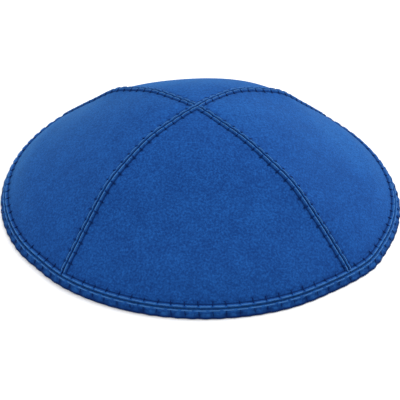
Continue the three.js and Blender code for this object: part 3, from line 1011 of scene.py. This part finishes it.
def set_stitches(name, tree, roots, ups, aways, settings):
    """Short stitches that start at their roots and lie away from them."""
    guide = guide_mesh(name + " points", roots, [], {"up": ups, "away": aways}, {})
    grow(name, tree, guide, settings)


class SeamLine:
    """Places along one seam and off to one side of it."""

    def __init__(self, surface, seam, side):
        self.surface, self.seam, self.side = surface, seam, side
        self.run = surface.seam_run(seam)
        end = surface.out_above(surface.sizes.band_face, np.array([float(seam)]))[0]
        self.end = float(np.interp(end, surface.outs, self.run))

    def place(self, along, aside):
        """out and turn of places a distance along from the crown and a distance aside from the seam."""
        surface = self.surface
        out = np.interp(along, self.run, surface.outs)
        middle = self.seam + 0.5 * self.side
        span = surface.span(out, np.full_like(out, middle % len(SEAM_ROWS)))
        angle = np.arcsin(np.clip(aside / (surface.sizes.rim_radius * out), -1, 1))
        return out, (self.seam + self.side * angle / span) % len(SEAM_ROWS)


class SKULLCAP_OT_seam_stitches(bpy.types.Operator):
    """Run two rows of thread along each seam, with the legs that dive beside it"""

    bl_idname = "skullcap.seam_stitches"
    bl_label = "Seam stitches"

    def execute(self, context):
        scene = context.scene
        stitches, colours = scene.skullcap_stitches, scene.skullcap_colours
        surface = CapSurface(scene.skullcap_sizes, stitches)
        rows, row_ups, phases = [], [], []
        legs, leg_ups, aways = [], [], []
        for seam in range(len(SEAM_ROWS)):
            begin = LONG_ROW_START if seam % 2 == LONG_SEAM_PARITY else SHORT_ROW_START
            for side in (-1, 1):
                line = SeamLine(surface, seam, side)
                along = steps_between(begin, line.end - ROW_STOP, ROW_STEP)
                out, turn = line.place(along, stitches.row)
                rows.append(surface.point(out, turn, surface.relief(out, turn)[0]))
                row_ups.append(surface.outward(out, turn))
                phases.append(along / stitches.pitch)
                holes = np.arange(1, int((line.end - LAST_LEG) / stitches.pitch) + 1) * stitches.pitch
                root_out, root_turn = line.place(holes, LEG_ROOT)
                hole_out, hole_turn = line.place(holes, stitches.seam_leg)
                legs.append(surface.dome(root_out, root_turn))
                leg_ups.append(surface.outward(root_out, root_turn))
                aways.append(unit(surface.dome(hole_out, hole_turn) - legs[-1]))
        thread = thread_material(ROW_THREAD_PAINTED_HIGHLIGHT, list(colours.row_thread_painted_highlight), gloss=0.1)
        settings = {"Thread": stitches.thread, "Material": thread}
        lay_rows("thread_rows_on_seams", running_thread_tree(), rows, row_ups, phases, settings)
        settings = {
            **LEG_LIE,
            "Thread": stitches.thread,
            "Reach": stitches.seam_leg - LEG_ROOT,
            "Seed": stitches.seed,
            "Material": thread_material(LEG_THREAD, list(colours.leg_thread), gloss=0.05),
        }
        roots, ups, aways = np.concatenate(legs), np.concatenate(leg_ups), np.concatenate(aways)
        set_stitches("thread_legs_on_seams", set_stitches_tree(), roots, ups, aways, settings)
        return {"FINISHED"}


class SKULLCAP_OT_rim_stitches(bpy.types.Operator):
    """Run the thread along the rim joint, up into the panels and round the folded edge"""

    bl_idname = "skullcap.rim_stitches"
    bl_label = "Rim stitches"

    def execute(self, context):
        sizes, stitches = context.scene.skullcap_sizes, context.scene.skullcap_stitches
        surface = CapSurface(sizes, stitches)
        steps_per_stitch = 14
        phases = np.arange(surface.rim_count * steps_per_stitch + 1) / steps_per_stitch
        turns = surface.rim_turns(phases)
        upper_out = surface.out_above(sizes.band_face + stitches.row, turns)
        upper = surface.point(upper_out, turns, surface.relief(upper_out, turns)[0])
        lower_out = surface.out_above(sizes.band_face - stitches.row, turns)
        lower_lift = surface.lip(np.full(len(turns), stitches.row), phases, True)[0]
        lower = surface.point(lower_out, turns, lower_lift)
        ups = [surface.outward(upper_out, turns), surface.outward(lower_out, turns)]
        tree = bpy.data.node_groups["running thread"]
        settings = {"Thread": stitches.thread, "Material": bpy.data.materials[ROW_THREAD_PAINTED_HIGHLIGHT]}
        lay_rows("thread_rows_on_rim", tree, [upper, lower], ups, [phases, phases + LOWER_ROW_LAG], settings)

        turns = surface.rim_turns(np.arange(surface.rim_count))
        tree = bpy.data.node_groups["set stitches"]
        dark = bpy.data.materials[LEG_THREAD]
        root_out = surface.out_above(sizes.band_face + LEG_ROOT, turns)
        root = surface.dome(root_out, turns)
        hole = surface.dome(surface.out_above(sizes.band_face + stitches.rim_leg, turns), turns)
        settings = {
            **LEG_LIE,
            "Thread": RIM_LEG_FULLNESS * stitches.thread,
            "Reach": stitches.rim_leg - LEG_ROOT,
            "Seed": stitches.seed + 1,
            "Material": dark,
        }
        ups = surface.outward(root_out, turns)
        set_stitches("thread_legs_on_rim", tree, root, ups, unit(hole - root), settings)

        top_out = surface.out_above(sizes.band_face - WRAP_ROOT, turns)
        top = surface.dome(top_out, turns)
        fold = surface.dome(1.0, turns)
        settings = {
            **WRAP_LIE,
            "Thread": WRAP_FULLNESS * stitches.thread,
            "Reach": WRAP_REACH * float(np.linalg.norm(fold - top, axis=1).mean()),
            "Seed": stitches.seed + 2,
            "Material": dark,
        }
        ups = surface.outward(top_out, turns)
        set_stitches("thread_wraps_on_rim", tree, top, ups, unit(fold - top), settings)
        return {"FINISHED"}


def paper_material():
    """Matt white seamless paper. It is plain and pale, and takes only a faint soft shadow."""
    material, tree = new_material("matt white seamless paper")
    place = add_node(tree, "ShaderNodeTexCoord").outputs["Object"]
    tooth = add_node(tree, "ShaderNodeTexNoise", {"Vector": place, "Scale": 1 / (2 * MM), "Detail": 2.0})
    bump = add_node(tree, "ShaderNodeBump", {"Height": tooth, "Strength": 0.05, "Distance": 0.05 * MM})
    finish = {
        "Base Color": (*linear("#F7F7F7"), 1),
        "Roughness": 0.9,
        "Specular IOR Level": 0.1,
        "Normal": bump,
    }
    surface = add_node(tree, "ShaderNodeBsdfPrincipled", finish)
    add_node(tree, "ShaderNodeOutputMaterial", {"Surface": surface})
    return material


def area_light(row):
    """A round soft light from a row of the table, aimed at the cap."""
    lamp = bpy.data.lights.new(row["name"], "AREA")
    lamp.shape = "DISK"
    lamp.size, lamp.energy, lamp.color = row["size"], row["power"], linear(row["tint"])
    thing = bpy.data.objects.new(row["name"], lamp)
    thing.location = row["place"]
    thing.rotation_euler = (Vector(LIGHTS_AIM) - Vector(row["place"])).to_track_quat("-Z", "Y").to_euler()
    bpy.context.scene.collection.objects.link(thing)


class SKULLCAP_OT_stage(bpy.types.Operator):
    """Set the paper floor, the studio lights and the camera"""

    bl_idname = "skullcap.stage"
    bl_label = "Stage"

    def execute(self, context):
        scene, studio = context.scene, context.scene.skullcap_studio
        corners = [(FLOOR_REACH * x, FLOOR_REACH * y, 0) for x, y in ((-1, -1), (1, -1), (1, 1), (-1, 1))]
        floor = new_object("paper_floor", corners, [], [(0, 1, 2, 3)])
        floor.data.materials.append(paper_material())

        world = bpy.data.worlds.new("white room")
        world.use_nodes = True
        world.node_tree.nodes.clear()
        white = {"Color": (*linear("#FFFFFF"), 1), "Strength": ROOM_STRENGTH}
        sky = add_node(world.node_tree, "ShaderNodeBackground", white)
        add_node(world.node_tree, "ShaderNodeOutputWorld", {"Surface": sky})
        scene.world = world

        for row in LIGHT_ROWS:
            area_light(row)

        surface = CapSurface(scene.skullcap_sizes, scene.skullcap_stitches)
        rise, across = math.sin(studio.elevation), math.cos(studio.elevation)
        back = Vector((0, -across, rise))
        right, up = Vector((1, 0, 0)), Vector((0, rise, across))
        turned_right = right * math.cos(studio.roll) + up * math.sin(studio.roll)
        turned_up = up * math.cos(studio.roll) - right * math.sin(studio.roll)
        aim = Vector(surface.shift) + Vector((studio.aim_right, 0, studio.aim_up))
        lens = bpy.data.cameras.new("camera")
        lens.lens, lens.sensor_width, lens.sensor_fit = studio.lens, SENSOR_WIDTH, "HORIZONTAL"
        lens.clip_start, lens.clip_end = 0.01, 20
        camera = bpy.data.objects.new("camera", lens)
        place = aim + back * studio.distance
        camera.matrix_world = Matrix(
            [[turned_right[i], turned_up[i], back[i], place[i]] for i in range(3)] + [[0, 0, 0, 1]]
        )
        scene.collection.objects.link(camera)
        scene.camera = camera
        scene.view_settings.view_transform = "Standard"
        return {"FINISHED"}


class SKULLCAP_PT_sidebar(bpy.types.Panel):
    """The cap's sizes, colours and building steps"""

    bl_label = "Suede skullcap"
    bl_idname = "SKULLCAP_PT_sidebar"
    bl_space_type = "VIEW_3D"
    bl_region_type = "UI"
    bl_category = "Skullcap"

    def draw(self, context):
        for group in PROPERTY_GROUPS:
            box = self.layout.box()
            box.label(text=group.__doc__)
            settings = getattr(context.scene, PROPERTY_GROUPS[group])
            for name in group.__annotations__:
                box.prop(settings, name)
        for step in STEPS:
            self.layout.operator(step.bl_idname)


PROPERTY_GROUPS = {
    CapSizes: "skullcap_sizes",
    StitchSizes: "skullcap_stitches",
    CapColours: "skullcap_colours",
    StudioSizes: "skullcap_studio",
}
STEPS = (
    SKULLCAP_OT_panels,
    SKULLCAP_OT_rim_band,
    SKULLCAP_OT_seam_stitches,
    SKULLCAP_OT_rim_stitches,
    SKULLCAP_OT_stage,
)


def register():
    """Adds the sizes, the building steps and the panel to Blender."""
    for group, name in PROPERTY_GROUPS.items():
        bpy.utils.register_class(group)
        setattr(bpy.types.Scene, name, PointerProperty(type=group))
    for step in STEPS:
        bpy.utils.register_class(step)
    bpy.utils.register_class(SKULLCAP_PT_sidebar)


def unregister():
    """Takes them away again."""
    bpy.utils.unregister_class(SKULLCAP_PT_sidebar)
    for step in reversed(STEPS):
        bpy.utils.unregister_class(step)
    for group, name in reversed(PROPERTY_GROUPS.items()):
        delattr(bpy.types.Scene, name)
        bpy.utils.unregister_class(group)


def main():
    """Builds the cap and its studio."""
    register()
    bpy.ops.skullcap.panels()
    bpy.ops.skullcap.rim_band()
    bpy.ops.skullcap.seam_stitches()
    bpy.ops.skullcap.rim_stitches()
    bpy.ops.skullcap.stage()


if __name__ == "__main__":
    main()
